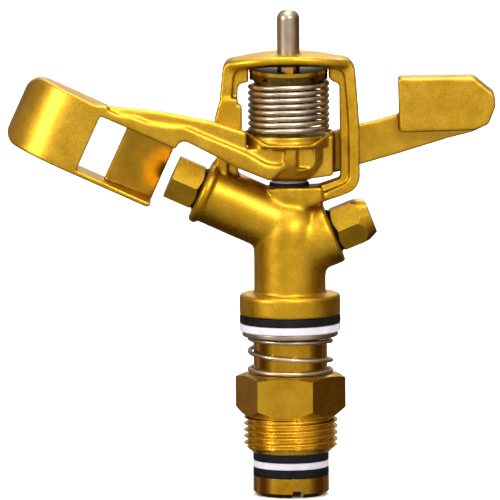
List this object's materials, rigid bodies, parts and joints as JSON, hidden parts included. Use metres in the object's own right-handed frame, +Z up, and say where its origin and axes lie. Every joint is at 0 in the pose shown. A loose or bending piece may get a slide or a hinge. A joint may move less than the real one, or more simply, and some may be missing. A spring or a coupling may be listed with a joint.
{
  "type": "impact sprinkler",
  "caption": "Brass impact sprinkler head with a swinging deflector arm, return spring under a bridge, main and rear nozzles, and a sprung bearing on a male pipe thread.",
  "frame": {"origin": "on the swivel axis, at the middle of the inlet thread", "axes": "+Z up the swivel axis towards the fulcrum pin, +X towards the counterweight, +Y to the rear; the main jet leaves towards -X and up at rest"},
  "size_m": [0.1372, 0.0286, 0.137],
  "materials": {
    "cast_brass": "satin cast brass",
    "machined_brass": "turned brass, fine machining marks",
    "stainless": "drawn stainless steel",
    "black_rubber": "moulded black rubber",
    "white_ptfe": "white PTFE",
    "bush_plastic": "turned acetal"
  },
  "bodies": {
    "base": {"bearing_nipple": "machined_brass", "bearing_spring": "stainless"},
    "carriage": {"spring_washer": "stainless"},
    "head": {"upper_ptfe_washer": "white_ptfe", "upper_rubber_washer": "black_rubber", "body_casting": "cast_brass", "stem_tube": "machined_brass", "lower_rubber_washer_a": "black_rubber", "lower_ptfe_washer": "white_ptfe", "lower_rubber_washer_b": "black_rubber", "main_nozzle": "machined_brass", "main_nozzle_seal": "black_rubber", "rear_nozzle": "machined_brass", "rear_nozzle_seal": "black_rubber", "fulcrum_pin": "stainless", "spring_retainer": "machined_brass", "arm_spring": "stainless", "arm_rubber_washer": "black_rubber", "arm_ptfe_washer": "white_ptfe"},
    "arm": {"arm_casting": "cast_brass", "arm_bush_lower": "bush_plastic", "arm_bush_upper": "bush_plastic"}
  },
  "joints": [
    {"name": "head_float", "type": "slide", "parent": "base", "child": "carriage", "axis": [0, 0, 1], "range_m": [-0.0015, 0], "stiffness_N_per_m": 4000, "springref_m": 0.005, "deforming": ["bearing_spring"]},
    {"name": "head_turn", "type": "hinge", "parent": "carriage", "child": "head", "pos_m": [0, 0, 0.0275], "axis": [0, 0, 1], "continuous": true},
    {"name": "arm_swing", "type": "hinge", "parent": "head", "child": "arm", "pos_m": [0, 0, 0.078], "axis": [0, 0, 1], "range_deg": [0, 95], "stiffness_Nm_per_rad": 0.02, "springref_deg": -57.3, "deforming": ["arm_spring"]}
  ]
}
